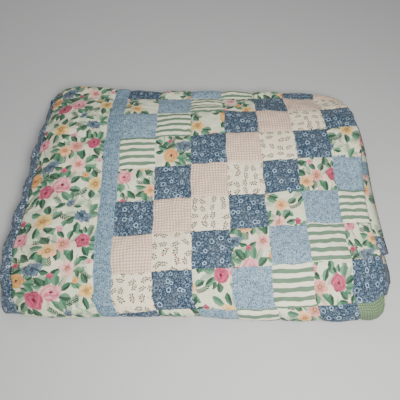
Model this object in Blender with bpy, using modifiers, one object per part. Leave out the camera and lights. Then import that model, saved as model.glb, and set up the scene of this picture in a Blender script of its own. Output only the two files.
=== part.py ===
"""A patchwork quilt, folded in three across its length and in three across its width, lying on a flat surface.

Units are metres, +Z is up and the quilt rests on Z = 0. The origin is under the middle of the folded quilt.
Seen from the front (-Y), the flowered border and its edge band are on the left (-X) and a fold is on the right.

The quilt is worked out flat and then folded. A point of it has two lengths on the cloth: "along" runs from the
edge that ends on the left of the top layer, and "across" runs from the edge that ends under the stack.
Folding in X turns "along" into x and a depth below the outside of a three-ply stack. Folding in Y takes that
stack from the bottom layer round the front roll, over the top, and round the back roll into the middle layer.
"""

import math

import bmesh
import bpy
import numpy as np

# The quilt, flat.
PATCH = 0.0889  # side of a finished square, 3.5 in
PATCH_COLUMNS = 19
PATCH_ROWS = 14
BAND = 0.050  # edge band that binds all four sides
BORDER = 0.172  # flowered border
SASHING = 0.040  # plain strip between the border and the squares
EDGE = BAND + BORDER + SASHING
LENGTH = 2 * EDGE + PATCH_COLUMNS * PATCH
WIDTH = 2 * EDGE + PATCH_ROWS * PATCH
LOFT = 0.0094  # thickness in the middle of a square
SEAM_LOFT = 0.0050  # thickness where a seam is quilted down
HIDDEN_LOFT = 0.0080  # even thickness of the plies that are folded away
BAND_LOFT = 0.0070
BAND_RIM = 0.0046
LOFT_LIMIT = 1.25 * LOFT
PIECE_GAP = 0.0016  # between the band and the quilt, on the flat cloth

# Folded in X: three plies, the outer one with its band on the left.
PLY_PITCH = 0.012
STACK = 3 * PLY_PITCH
OUTER_PLY = PLY_PITCH / 2  # depth of each ply's middle below the outside of the stack
MIDDLE_PLY = OUTER_PLY + PLY_PITCH
INNER_PLY = OUTER_PLY + 2 * PLY_PITCH
TWO_PLY_SHIFT = 0.003  # how far two plies move together where the third has ended
HANG = 0.060  # length of the outer ply that hangs past the left end of the stack
HANG_X = -0.4058  # where it starts to hang
BACK_HANG = 0.0120  # how much sooner it starts to hang near the back
HANG_RADIUS = 0.0403  # how gently it bends down from the top
ROLL_HANG_RADIUS = 0.0220  # the same over the two rolls, where it drops steeply
CORNER_IN = 0.0235  # how far the stack's corners draw in, along the rolls
LEFT_CORNER_IN = 0.0070
FRONT_LEFT_CORNER = 0.0163  # how far they draw back from the front
FRONT_RIGHT_CORNER = 0.0470
FLARE = 0.0220  # how far the left edge spreads at the front
BACK_FLARE = 0.0080  # and near the back
LEFT_IN = 0.0065  # how far it draws in, halfway to the back
RIGHT_IN = 0.0151  # how far the top layer's fold draws in on the right, at its most
RIGHT_IN_Y = -0.136
RIGHT_IN_REACH = 0.171
FRONT_LEFT_IN = 0.0045  # how far the front roll draws back on the left
FRONT_SWELL = 0.0168  # how far it swells on the right
BACK_IN = 0.0050  # how far the back roll draws in all along
BACK_LEFT_SWELL = 0.0218  # how far it swells on the left
BACK_RIGHT_IN = 0.0105  # how far it draws in further on the right
SCALLOP = 0.0035  # how far the hanging edge wanders in and out
SCALLOP_PITCH = 0.083
INNER_FOLD_X = -0.391  # middle of the inner fold, on the left
INNER_FOLD_RADIUS = PLY_PITCH / 2
OUTER_FOLD_RADIUS = (INNER_PLY - OUTER_PLY) / 2 - TWO_PLY_SHIFT

# Folded in Y: three layers of that stack, over each other.
LAYER_GAP = 0.002
LOW = STACK / 2  # height of each layer's middle
MIDDLE = LOW + STACK + LAYER_GAP
TOP = MIDDLE + STACK + LAYER_GAP
ROLL_RADIUS = (MIDDLE - LOW) / 2
FRONT_ROLL_Y = -0.3049
BACK_ROLL_Y = 0.2915
FRONT_SLOPE = (-0.300, -0.205)  # the top layer comes down off the middle layer's end
BACK_SLOPE = (0.167, 0.298)  # the top and middle layers come down off the bottom layer's end
BOTTOM_LAYER = 0.4578  # flat length of the bottom layer, behind the front roll
PATH_STEPS = 64
PATH_START = 0.1  # how far the path runs on before the cloth's edge

# How far the stack sinks or rises from its even height, as shares of it.
EVEN_LIFT = -0.043
CROWN = 0.143
CROWN_Y = 0.077
CROWN_REACH = 0.10
RIGHT_LOW = -0.055
RIGHT_FRONT_LOW = 0.226
LEFT_LOW = 0.295
BACK_LEFT_LOW = -0.082
BACK_RIGHT_LOW = 0.288
FRONT_LEFT_LOW = 0.027
SIDE_TILT = -0.144
FRONT_TILT = 0.249

# The middle of the folded quilt, in the lengths that FOLD_X and FRONT_ROLL_Y are counted in.
CENTRE_X = -0.0184
CENTRE_Y = -0.0055

# How finely the cloth is divided, in lengths on the flat cloth.
TOP_STEP = PATCH / 2
HIDDEN_STEP = PATCH
HANG_STEP = 0.017
FOLD_STEP = 0.0045
ROLL_STEP = 0.0150
RIM_STEP = 0.004  # a first short step in from each piece's edge
BAND_STEPS = 3
SHOWN_ACROSS = (0.42, 1.20)  # what of "across" is on the rolls and the top layer

GROUND_REACH = 0.0034  # whatever comes this near to the surface lies flat on it

QUILT_COLOUR = (0.62, 0.60, 0.55)
BAND_COLOUR = (0.08, 0.12, 0.24)

# The lie of the rows: seams run a little askew to the front edge.
SKEW = 0.0644
SKEW_FADE = (0.95, 1.35)  # distance "across" over which the rows come straight again

# How the layers lie: the top layer's outer fold, and how far each layer's left and right ends are shifted in x.
FOLD_X = 0.4204
LAYER_SHIFT = {"bottom": (0.032, 0.026), "top": (0.0, 0.0), "middle": (0.014, 0.024)}


def ease(value, start, end):
    """0 before start, 1 after end, and a smooth rise between."""
    t = np.clip((value - start) / (end - start), 0.0, 1.0)
    return t * t * (3 - 2 * t)


def hump(value, middle, reach):
    return np.exp(-(((value - middle) / reach) ** 2))


def stack_scale(x, y):
    """How high the stack stands at a place, as a share of its even height."""
    lift = EVEN_LIFT + CROWN * hump(y, CROWN_Y, CROWN_REACH)
    front = 1 - ease(y, -0.03, 0.14)
    right = (RIGHT_LOW + RIGHT_FRONT_LOW * front) * ease(x, 0.250, 0.425)
    left = LEFT_LOW * ease(-x, 0.340, 0.430)
    back_left = BACK_LEFT_LOW * ease(-x, 0.300, 0.430) * ease(y, 0.200, 0.330)
    back_right = BACK_RIGHT_LOW * ease(x, 0.320, 0.430) * ease(y, 0.230, 0.330)
    front_left = FRONT_LEFT_LOW * ease(-x, 0.330, 0.430) * ease(-y, 0.230, 0.330)
    tilt = SIDE_TILT * x + FRONT_TILT * ease(x, 0.0, 0.43) * ease(-y, 0.150, 0.330)
    waves = 0.010 * np.sin(9.0 * x + 5.0 * y) + 0.008 * np.sin(21.0 * x - 13.0 * y + 1.0)
    height = 1 + lift + tilt + waves
    return height * (1 - right) * (1 - left) * (1 - back_left) * (1 - back_right) * (1 - front_left)


def path():
    """The middle line of the stack, from the bottom layer's end to the middle layer's end.

    Each row holds y, z, the direction out of the fold, and how far the layer's two ends are shifted in x.
    """
    steps = np.linspace(0, 1, PATH_STEPS)[:, None]
    turn = math.pi * steps
    rows = []

    def layer(start, end, height, shift):
        y = start + (end - start) * steps
        rows.append(np.hstack([y, height(y), shift + 0 * y]))

    def roll(y, side, first, last):
        rows.append(
            np.hstack(
                [
                    y + side * ROLL_RADIUS * np.sin(turn),
                    LOW + ROLL_RADIUS * (1 + side * np.cos(turn)),
                    first + (last - first) * steps,
                ]
            )[1:-1]
        )

    def top_height(y):
        return MIDDLE + (TOP - MIDDLE) * ease(y, *FRONT_SLOPE) * (1 - ease(y, *BACK_SLOPE))

    def middle_height(y):
        return LOW + (MIDDLE - LOW) * (1 - ease(y, *BACK_SLOPE))

    bottom, top, middle = (np.array(LAYER_SHIFT[name]) for name in ("bottom", "top", "middle"))
    layer(FRONT_ROLL_Y + BOTTOM_LAYER + PATH_START, FRONT_ROLL_Y, lambda y: LOW + 0 * y, bottom)
    roll(FRONT_ROLL_Y, -1, bottom, top)
    layer(FRONT_ROLL_Y, BACK_ROLL_Y, top_height, top)
    roll(BACK_ROLL_Y, 1, top, middle)
    layer(BACK_ROLL_Y, BACK_ROLL_Y - 1.0, middle_height, middle)
    places = np.concatenate(rows)
    way = np.gradient(places[:, 0:2], axis=0)
    way /= np.linalg.norm(way, axis=1, keepdims=True)
    return np.column_stack([places[:, 0:2], -way[:, 1], way[:, 0], places[:, 2:]])


PATH = path()
OUTSIDE = PATH[:, 0:2] + PATH[:, 2:4] * (STACK / 2 - OUTER_PLY)
TRAVEL = np.concatenate([[0.0], np.cumsum(np.linalg.norm(np.diff(OUTSIDE, axis=0), axis=1))]) - PATH_START


def plies(along, shift):
    """Where folding in X puts a length on the cloth: x, depth below the outside, and how far it hangs."""
    left = HANG_X - HANG + shift
    fold = FOLD_X + shift - OUTER_FOLD_RADIUS - LOFT / 2
    to_fold = along - (fold - left)
    round_fold = math.pi * OUTER_FOLD_RADIUS
    back = fold - (to_fold - round_fold)
    to_inner = (INNER_FOLD_X + shift) - back
    round_inner = math.pi * INNER_FOLD_RADIUS
    turn = np.clip(to_fold / OUTER_FOLD_RADIUS, 0, math.pi)
    inner_turn = np.clip(to_inner / INNER_FOLD_RADIUS, 0, math.pi)

    third_ply_end = left + shift + LENGTH - (fold - left) - round_fold - (fold - INNER_FOLD_X) - round_inner

    def closed(place):
        return TWO_PLY_SHIFT * ease(place, third_ply_end + 0.025, third_ply_end + 0.120)

    middle = (OUTER_PLY + INNER_PLY) / 2
    x = left + along
    depth = OUTER_PLY + closed(np.minimum(left + along, back))
    hang = HANG_X + shift - x

    on_fold = to_fold > 0
    x = np.where(on_fold, fold + OUTER_FOLD_RADIUS * np.sin(turn), x)
    depth = np.where(on_fold, middle - OUTER_FOLD_RADIUS * np.cos(turn), depth)
    on_back = to_fold > round_fold
    x = np.where(on_back, back, x)
    depth = np.where(on_back, INNER_PLY - closed(back), depth)
    on_inner = on_back & (to_inner > 0)
    x = np.where(on_inner, INNER_FOLD_X + shift - INNER_FOLD_RADIUS * np.sin(inner_turn), x)
    depth = np.where(
        on_inner, MIDDLE_PLY + INNER_FOLD_RADIUS + INNER_FOLD_RADIUS * np.cos(inner_turn), depth
    )
    on_last = on_inner & (to_inner > round_inner)
    x = np.where(on_last, INNER_FOLD_X + shift + (to_inner - round_inner), x)
    return x, depth, np.where(on_fold, -1, hang)


def hang_down(x, y, z, hang):
    """Bends the cloth that hangs past the stack's left end down, as far as the height under it lets it."""
    rolls = ease(-y, 0.20, 0.31) + ease(y, 0.08, 0.26)
    radius = HANG_RADIUS + (ROLL_HANG_RADIUS - HANG_RADIUS) * rolls
    radius += 0.60 * np.clip(0.085 - z, 0, None) + 4.0 * np.clip(0.03 - z, 0, None)
    angle = np.minimum(hang / radius, math.pi / 2)
    drop = radius * (1 - np.cos(angle)) + hang - radius * angle
    return np.where(hang > 0, x + hang - radius * np.sin(angle), x), np.where(hang > 0, z - drop, z)


def outlined(x, y):
    """Moves the stack's edges in and out, the way the cloth lies."""
    corner_in = np.where(x < 0, LEFT_CORNER_IN, CORNER_IN)
    x = x - corner_in * ease(np.abs(y), 0.27, 0.335) * np.sign(x) * ease(np.abs(x), 0.36, 0.42)
    x = x + LEFT_IN * ease(-x, 0.35, 0.45) * hump(y, 0.0, 0.10)
    flare = FLARE * (1 - ease(y, -0.20, 0.20)) + BACK_FLARE * ease(y, 0.12, 0.28)
    x = x - flare * ease(-x, 0.30, 0.45)
    front = FRONT_LEFT_IN * ease(-x, -0.10, 0.10) - FRONT_SWELL * ease(x, -0.05, 0.25)
    corners = FRONT_LEFT_CORNER * ease(-x, 0.35, 0.46) + FRONT_RIGHT_CORNER * ease(x, 0.36, 0.45)
    back = BACK_LEFT_SWELL * ease(-x, 0.10, 0.34) - BACK_RIGHT_IN * ease(x, 0.20, 0.36) - BACK_IN
    return x, y + (front + corners) * ease(-y, 0.16, 0.33) + back * ease(y, 0.18, 0.32)


def folded(along, across):
    """The place of each point of the quilt's middle surface. along and across are arrays of one shape."""
    x_flat = plies(along, 0.0)[0]
    travel = across + SKEW * x_flat * (1 - ease(across, *SKEW_FADE))
    y_path, z_path, out_y, out_z, left, right = (np.interp(travel, TRAVEL, PATH[:, i]) for i in range(6))
    x, depth, hang = plies(along, left)
    x = x + (right - left) * ease(x, 0.15, 0.42)
    out = STACK / 2 - depth
    y = y_path + out_y * out
    z = z_path + out_z * out
    upper = 1 - right / LAYER_SHIFT["bottom"][1]
    x = x - RIGHT_IN * upper * ease(x, 0.32, 0.42) * hump(y, RIGHT_IN_Y, RIGHT_IN_REACH)
    scale = stack_scale(x, y)
    hang = np.clip(hang + BACK_HANG * ease(y, 0.12, 0.28), 0, None)
    x, z = hang_down(x, y, z * scale, hang)
    x, y = outlined(x, y)
    x = x + SCALLOP * np.clip(hang / HANG, 0, 1) * np.sin(2 * math.pi * across / SCALLOP_PITCH)
    return np.stack([x - CENTRE_X, y - CENTRE_Y, z], axis=-1), scale


def fold_turns():
    """The stretches of "along" that lie round the two folds."""
    fold = FOLD_X - OUTER_FOLD_RADIUS - LOFT / 2
    start = fold - (HANG_X - HANG)
    end = start + math.pi * OUTER_FOLD_RADIUS
    inner = end + fold - INNER_FOLD_X
    return (start, end), (inner, inner + math.pi * INNER_FOLD_RADIUS)


def roll_turns():
    """The stretches of "across" that the two rolls reach, anywhere along the askew rows."""
    length = math.pi * (ROLL_RADIUS + STACK / 2 - OUTER_PLY)
    front = BOTTOM_LAYER
    back = BOTTOM_LAYER + length + BACK_ROLL_Y - FRONT_ROLL_Y
    reach = SKEW * FOLD_X
    return (front - reach, front + length + reach), (back - reach / 2, back + length + reach / 2)


def seams(length, squares):
    """Where the seams of one direction lie, from one band to the other."""
    first = [BAND, BAND + BORDER]
    middle = [EDGE + PATCH * square for square in range(squares + 1)]
    return first + middle + [length - seam for seam in reversed(first)]


FOLDS = fold_turns()
ROLLS = roll_turns()
COLUMN_SEAMS = seams(LENGTH, PATCH_COLUMNS)
ROW_SEAMS = seams(WIDTH, PATCH_ROWS)


def with_folds(edges):
    """The seams, with the ends of the folds put in and the seams too near to them left out."""
    ends = [end for fold in FOLDS for end in fold]
    clear = [edge for edge in edges if min(abs(edge - end) for end in ends) > 1.5 * FOLD_STEP]
    return sorted([edge for edge in clear if not within(edge, FOLDS)] + ends)


def within(place, stretches):
    return any(start < place < end for start, end in stretches)


def along_step(place):
    if place < HANG + 2 * HANG_STEP:
        return HANG_STEP
    if within(place, FOLDS):
        return FOLD_STEP
    return TOP_STEP if place < FOLDS[0][0] else HIDDEN_STEP


def across_step(place):
    if within(place, ROLLS):
        return ROLL_STEP
    return TOP_STEP if within(place, [SHOWN_ACROSS]) else HIDDEN_STEP


def divided(edges, step_at):
    """The edges with even steps between them, of about the length that step_at says there."""
    lines = []
    for start, end in zip(edges, edges[1:]):
        steps = max(1, round((end - start) / step_at((start + end) / 2)))
        lines += [start + (end - start) * step / steps for step in range(steps)]
    lines.append(edges[-1])
    return lines[:1] + [lines[0] + RIM_STEP] + lines[1:-1] + [lines[-1] - RIM_STEP] + lines[-1:]


def band_lines(lines, length):
    """The quilt's lines between the band's two strips, each strip with lines of its own."""
    strip = [BAND * step / BAND_STEPS for step in range(BAND_STEPS)] + [BAND - RIM_STEP, BAND - PIECE_GAP]
    return strip + lines[1:-1] + [length - place for place in reversed(strip)]


def near_seam(place, lines):
    """0 on a seam, rising to 1 half a square away from it."""
    distance = np.min(np.abs(place[..., None] - np.array(lines)), axis=-1)
    return np.sin(math.pi / 2 * np.clip(distance / (PATCH / 2), 0, 1))


def quilted_loft(along, across):
    """Thickness of the quilt: drawn in along the seams where it shows, even where it is folded away."""
    rise = np.minimum(near_seam(along, COLUMN_SEAMS), near_seam(across, ROW_SEAMS))
    shown = (along < FOLDS[0][1]) & (across > SHOWN_ACROSS[0]) & (across < SHOWN_ACROSS[1])
    return np.where(shown, SEAM_LOFT + (LOFT - SEAM_LOFT) * rise, HIDDEN_LOFT)


def band_loft(along, across):
    """Thickness of the band: full in its middle, thin at its two edges."""
    edge = np.minimum.reduce([along, across, LENGTH - along, WIDTH - across])
    return BAND_RIM + (BAND_LOFT - BAND_RIM) * np.sin(math.pi * np.clip(edge / BAND, 0, 1))


def cloth_material(name, colour):
    material = bpy.data.materials.new(name)
    material.use_nodes = True
    shader = material.node_tree.nodes["Principled BSDF"]
    shader.inputs["Base Color"].default_value = (*colour, 1)
    shader.inputs["Roughness"].default_value = 0.9
    return material


def cloth_sheet(name, lines, keep):
    """A grid over the flat cloth with the given lines along and across, and the faces that keep allows."""
    columns, rows = len(lines[0]) - 1, len(lines[1]) - 1
    grid = bmesh.new()
    bmesh.ops.create_grid(grid, x_segments=columns, y_segments=rows, size=0.5)
    for vertex in grid.verts:
        column = round((vertex.co.x + 0.5) * columns)
        row = round((vertex.co.y + 0.5) * rows)
        vertex.co = (lines[0][column], lines[1][row], 0)
    dropped = [face for face in grid.faces if not keep(*face.calc_center_median()[0:2])]
    bmesh.ops.delete(grid, geom=dropped, context="FACES")
    mesh = bpy.data.meshes.new(name)
    grid.to_mesh(mesh)
    grid.free()
    return mesh


def fold_up(part, loft):
    """Moves a flat sheet's points to where folding puts them, and gives the sheet its thickness."""
    mesh = part.data
    places = np.array([vertex.co[0:2] for vertex in mesh.vertices])
    along, across = places[:, 0], places[:, 1]
    middle, scale = folded(along, across)
    thickness = loft(along, across) * scale
    middle[:, 2] = np.maximum(middle[:, 2], thickness / 2)
    mesh.vertices.foreach_set("co", middle.ravel())

    group = part.vertex_groups.new(name="loft")
    for index, share in enumerate(thickness / LOFT_LIMIT):
        group.add([index], float(share), "REPLACE")
    shell = part.modifiers.new("thickness", "SOLIDIFY")
    shell.thickness = LOFT_LIMIT
    shell.offset = 0
    shell.vertex_group = group.name


def press_flat(part):
    """Makes the sheet's thickness real, and lays flat what comes near to the surface under it."""
    evaluated = part.evaluated_get(bpy.context.evaluated_depsgraph_get())
    mesh = bpy.data.meshes.new_from_object(evaluated)
    part.modifiers.clear()
    part.data = mesh
    for vertex in mesh.vertices:
        if vertex.co.z < GROUND_REACH:
            vertex.co.z = 0
    mesh.shade_smooth()


def add_part(name, collection, colour, lines, keep, loft):
    part = bpy.data.objects.new(name, cloth_sheet(name, lines, keep))
    collection.objects.link(part)
    part.data.materials.append(cloth_material(name + "_cloth", colour))
    fold_up(part, loft)
    bpy.context.view_layer.update()
    press_flat(part)


def on_quilt(along, across):
    return True


def on_band(along, across):
    return min(along, across, LENGTH - along, WIDTH - across) < BAND


def build():
    for old in list(bpy.data.objects):
        bpy.data.objects.remove(old, do_unlink=True)
    collection = bpy.data.collections.new("folded_patchwork_quilt")
    bpy.context.scene.collection.children.link(collection)

    lines = divided(with_folds(COLUMN_SEAMS), along_step), divided(ROW_SEAMS, across_step)
    add_part("quilt", collection, QUILT_COLOUR, lines, on_quilt, quilted_loft)
    around = band_lines(lines[0], LENGTH), band_lines(lines[1], WIDTH)
    add_part("edge_band", collection, BAND_COLOUR, around, on_band, band_loft)


build()
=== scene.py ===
"""The looks of a patchwork quilt, folded in three across its length and in three across its width.

The cloth is worked out flat and then folded, with the same sizes as the solids. A point of it has two
lengths on the flat cloth: "along", from the edge that ends on the left of the top layer, and "across",
from the edge that ends under the stack. They are also its UV coordinates, in metres, so every print
keeps its real scale.
"""

import math

import bpy
import numpy as np
from mathutils import Matrix, Vector


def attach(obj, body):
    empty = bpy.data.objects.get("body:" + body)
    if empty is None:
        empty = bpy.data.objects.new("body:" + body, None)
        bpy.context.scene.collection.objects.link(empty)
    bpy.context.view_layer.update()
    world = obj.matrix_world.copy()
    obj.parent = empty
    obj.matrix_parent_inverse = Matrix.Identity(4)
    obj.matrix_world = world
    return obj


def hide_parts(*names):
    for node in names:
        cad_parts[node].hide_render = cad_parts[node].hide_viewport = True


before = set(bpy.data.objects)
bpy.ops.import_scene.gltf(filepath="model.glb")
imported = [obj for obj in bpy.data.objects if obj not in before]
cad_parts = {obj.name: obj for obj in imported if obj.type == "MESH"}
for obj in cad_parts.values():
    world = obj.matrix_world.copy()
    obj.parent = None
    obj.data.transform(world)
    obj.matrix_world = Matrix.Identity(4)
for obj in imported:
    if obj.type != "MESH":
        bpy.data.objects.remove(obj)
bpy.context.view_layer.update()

# The quilt, flat.
PATCH = 0.0889  # side of a finished square, 3.5 in
PATCH_COLUMNS = 19
PATCH_ROWS = 14
BAND = 0.05  # edge band that binds all four sides
BORDER = 0.172  # flowered border
SASHING = 0.04  # plain strip between the border and the squares
EDGE = BAND + BORDER + SASHING
LENGTH = 2 * EDGE + PATCH_COLUMNS * PATCH
WIDTH = 2 * EDGE + PATCH_ROWS * PATCH
LOFT = 0.0094  # thickness in the middle of a square
HIDDEN_LOFT = 0.008  # thickness of the plies that are folded away
BAND_LOFT = 0.007  # thickness in the middle of the band
BAND_RIM = 0.0046  # and at its two edges
PIECE_GAP = 0.0016  # between the band and the quilt, on the flat cloth

# Folded in X: three plies, the outer one with its band on the left.
PLY_PITCH = 0.012
STACK = 3 * PLY_PITCH
OUTER_PLY = PLY_PITCH / 2  # depth of each ply's middle under the stack's outside
MIDDLE_PLY = OUTER_PLY + PLY_PITCH
INNER_PLY = OUTER_PLY + 2 * PLY_PITCH
TWO_PLY_SHIFT = 0.003  # how far two plies move together where the third has ended
HANG = 0.06  # length of the outer ply that hangs past the left end of the stack
HANG_X = -0.4058  # where it starts to hang
BACK_HANG = 0.012  # how much sooner it starts to hang near the back
HANG_RADIUS = 0.0403  # how gently it bends down from the top
ROLL_HANG_RADIUS = 0.022  # the same over the two rolls, where it drops steeply
CORNER_IN = 0.0235  # how far the stack's corners draw in, along the rolls
LEFT_CORNER_IN = 0.007  # the same on the left
FRONT_LEFT_CORNER = 0.0163  # how far they draw back from the front
FRONT_RIGHT_CORNER = 0.047
FLARE = 0.022  # how far the left edge spreads at the front
BACK_FLARE = 0.008  # and near the back
LEFT_IN = 0.0065  # how far it draws in, halfway to the back
RIGHT_IN = 0.0151  # how far the top layer's fold draws in on the right
RIGHT_IN_Y = -0.136
RIGHT_IN_REACH = 0.171
FRONT_LEFT_IN = 0.0045  # how far the front roll draws back on the left
FRONT_SWELL = 0.0168  # how far it swells on the right
BACK_IN = 0.005  # how far the back roll draws in all along
BACK_LEFT_SWELL = 0.0218  # how far it swells on the left
BACK_RIGHT_IN = 0.0105  # how far it draws in further on the right
SCALLOP = 0.0035  # how far the hanging edge wanders in and out
SCALLOP_PITCH = 0.083
INNER_FOLD_X = -0.391  # middle of the inner fold, on the left
INNER_FOLD_RADIUS = PLY_PITCH / 2
OUTER_FOLD_RADIUS = (INNER_PLY - OUTER_PLY) / 2 - TWO_PLY_SHIFT

# Folded in Y: three layers of that stack, over each other.
LAYER_GAP = 0.002
LOW = STACK / 2  # height of each layer's middle
MIDDLE = LOW + STACK + LAYER_GAP
TOP = MIDDLE + STACK + LAYER_GAP
ROLL_RADIUS = (MIDDLE - LOW) / 2
FRONT_ROLL_Y = -0.3049
BACK_ROLL_Y = 0.2915
FRONT_SLOPE = (-0.3, -0.205)  # the top layer comes down off the middle layer's end
BACK_SLOPE = (0.167, 0.298)  # the top and middle layers come down off the bottom one's end
BOTTOM_LAYER = 0.4578  # flat length of the bottom layer, behind the front roll
PATH_STEPS = 64
PATH_START = 0.1  # how far the path runs on before the cloth's edge

# How far the stack sinks or rises from its even height, as shares of it.
EVEN_LIFT = -0.043
CROWN = 0.143
CROWN_Y = 0.077
CROWN_REACH = 0.1
RIGHT_LOW = -0.055
RIGHT_FRONT_LOW = 0.226
LEFT_LOW = 0.295
BACK_LEFT_LOW = -0.082
BACK_RIGHT_LOW = 0.288
FRONT_LEFT_LOW = 0.027
SIDE_TILT = -0.144
FRONT_TILT = 0.249

# The middle of the folded quilt, in the lengths that the fold above is counted in.
CENTRE_X = -0.0184
CENTRE_Y = -0.0055

# The lie of the rows: seams run a little askew to the front edge.
SKEW = 0.0644
SKEW_FADE = (0.95, 1.35)  # where "across" the rows come straight again

# The top layer's outer fold, and how far each layer's left and right ends are shifted in x.
FOLD_X = 0.4204
LAYER_SHIFT = {"bottom": (0.032, 0.026), "top": (0.0, 0.0), "middle": (0.014, 0.024)}


def ease(value, start, end):
    """0 before start, 1 after end, and a smooth rise between."""
    t = np.clip((value - start) / (end - start), 0.0, 1.0)
    return t * t * (3 - 2 * t)


def hump(value, middle, reach):
    return np.exp(-(((value - middle) / reach) ** 2))


def stack_scale(x, y):
    """How high the stack stands at a place, as a share of its even height."""
    lift = EVEN_LIFT + CROWN * hump(y, CROWN_Y, CROWN_REACH)
    front = 1 - ease(y, -0.03, 0.14)
    right = (RIGHT_LOW + RIGHT_FRONT_LOW * front) * ease(x, 0.25, 0.425)
    left = LEFT_LOW * ease(-x, 0.34, 0.43)
    back_left = BACK_LEFT_LOW * ease(-x, 0.3, 0.43) * ease(y, 0.2, 0.33)
    back_right = BACK_RIGHT_LOW * ease(x, 0.32, 0.43) * ease(y, 0.23, 0.33)
    front_left = FRONT_LEFT_LOW * ease(-x, 0.33, 0.43) * ease(-y, 0.23, 0.33)
    tilt = SIDE_TILT * x + FRONT_TILT * ease(x, 0.0, 0.43) * ease(-y, 0.15, 0.33)
    waves = 0.01 * np.sin(9.0 * x + 5.0 * y) + 0.008 * np.sin(21.0 * x - 13.0 * y + 1.0)
    height = 1 + lift + tilt + waves
    return height * (1 - right) * (1 - left) * (1 - back_left) * (1 - back_right) * (1 - front_left)


def path():
    """The middle line of the stack, from the bottom layer's end to the middle layer's end.

    Each row holds y, z, the direction out of the fold, and how far the layer's two ends are shifted in x.
    """
    steps = np.linspace(0, 1, PATH_STEPS)[:, None]
    turn = math.pi * steps
    rows = []

    def layer(start, end, height, shift):
        y = start + (end - start) * steps
        rows.append(np.hstack([y, height(y), shift + 0 * y]))

    def roll(y, side, first, last):
        out = y + side * ROLL_RADIUS * np.sin(turn)
        height = LOW + ROLL_RADIUS * (1 + side * np.cos(turn))
        rows.append(np.hstack([out, height, first + (last - first) * steps])[1:-1])

    def top_height(y):
        return MIDDLE + (TOP - MIDDLE) * ease(y, *FRONT_SLOPE) * (1 - ease(y, *BACK_SLOPE))

    def middle_height(y):
        return LOW + (MIDDLE - LOW) * (1 - ease(y, *BACK_SLOPE))

    bottom, top, middle = (np.array(shift) for shift in LAYER_SHIFT.values())
    layer(FRONT_ROLL_Y + BOTTOM_LAYER + PATH_START, FRONT_ROLL_Y, lambda y: LOW + 0 * y, bottom)
    roll(FRONT_ROLL_Y, -1, bottom, top)
    layer(FRONT_ROLL_Y, BACK_ROLL_Y, top_height, top)
    roll(BACK_ROLL_Y, 1, top, middle)
    layer(BACK_ROLL_Y, BACK_ROLL_Y - 1.0, middle_height, middle)
    places = np.concatenate(rows)
    way = np.gradient(places[:, 0:2], axis=0)
    way /= np.linalg.norm(way, axis=1, keepdims=True)
    return np.column_stack([places[:, 0:2], -way[:, 1], way[:, 0], places[:, 2:]])


PATH = path()
OUTSIDE = PATH[:, 0:2] + PATH[:, 2:4] * (STACK / 2 - OUTER_PLY)
TRAVEL = np.concatenate([[0.0], np.cumsum(np.linalg.norm(np.diff(OUTSIDE, axis=0), axis=1))]) - PATH_START


def plies(along, shift):
    """Where folding in X puts a length on the cloth: x, depth under the outside, and how far it hangs."""
    left = HANG_X - HANG + shift
    fold = FOLD_X + shift - OUTER_FOLD_RADIUS - LOFT / 2
    to_fold = along - (fold - left)
    round_fold = math.pi * OUTER_FOLD_RADIUS
    back = fold - (to_fold - round_fold)
    to_inner = (INNER_FOLD_X + shift) - back
    round_inner = math.pi * INNER_FOLD_RADIUS
    turn = np.clip(to_fold / OUTER_FOLD_RADIUS, 0, math.pi)
    inner_turn = np.clip(to_inner / INNER_FOLD_RADIUS, 0, math.pi)

    third_end = left + shift + LENGTH - (fold - left) - round_fold - (fold - INNER_FOLD_X) - round_inner

    def closed(place):
        return TWO_PLY_SHIFT * ease(place, third_end + 0.025, third_end + 0.12)

    middle = (OUTER_PLY + INNER_PLY) / 2
    x = left + along
    depth = OUTER_PLY + closed(np.minimum(left + along, back))
    hang = HANG_X + shift - x

    on_fold = to_fold > 0
    x = np.where(on_fold, fold + OUTER_FOLD_RADIUS * np.sin(turn), x)
    depth = np.where(on_fold, middle - OUTER_FOLD_RADIUS * np.cos(turn), depth)
    on_back = to_fold > round_fold
    x = np.where(on_back, back, x)
    depth = np.where(on_back, INNER_PLY - closed(back), depth)
    on_inner = on_back & (to_inner > 0)
    x = np.where(on_inner, INNER_FOLD_X + shift - INNER_FOLD_RADIUS * np.sin(inner_turn), x)
    round_depth = MIDDLE_PLY + INNER_FOLD_RADIUS + INNER_FOLD_RADIUS * np.cos(inner_turn)
    depth = np.where(on_inner, round_depth, depth)
    on_last = on_inner & (to_inner > round_inner)
    x = np.where(on_last, INNER_FOLD_X + shift + (to_inner - round_inner), x)
    return x, depth, np.where(on_fold, -1, hang)


def hang_down(x, y, z, hang):
    """Bends the cloth that hangs past the stack's left end down, as far as its height lets it."""
    rolls = ease(-y, 0.2, 0.31) + ease(y, 0.08, 0.26)
    radius = HANG_RADIUS + (ROLL_HANG_RADIUS - HANG_RADIUS) * rolls
    radius += 0.6 * np.clip(0.085 - z, 0, None) + 4.0 * np.clip(0.03 - z, 0, None)
    angle = np.minimum(hang / radius, math.pi / 2)
    drop = radius * (1 - np.cos(angle)) + hang - radius * angle
    return np.where(hang > 0, x + hang - radius * np.sin(angle), x), np.where(hang > 0, z - drop, z)


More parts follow.
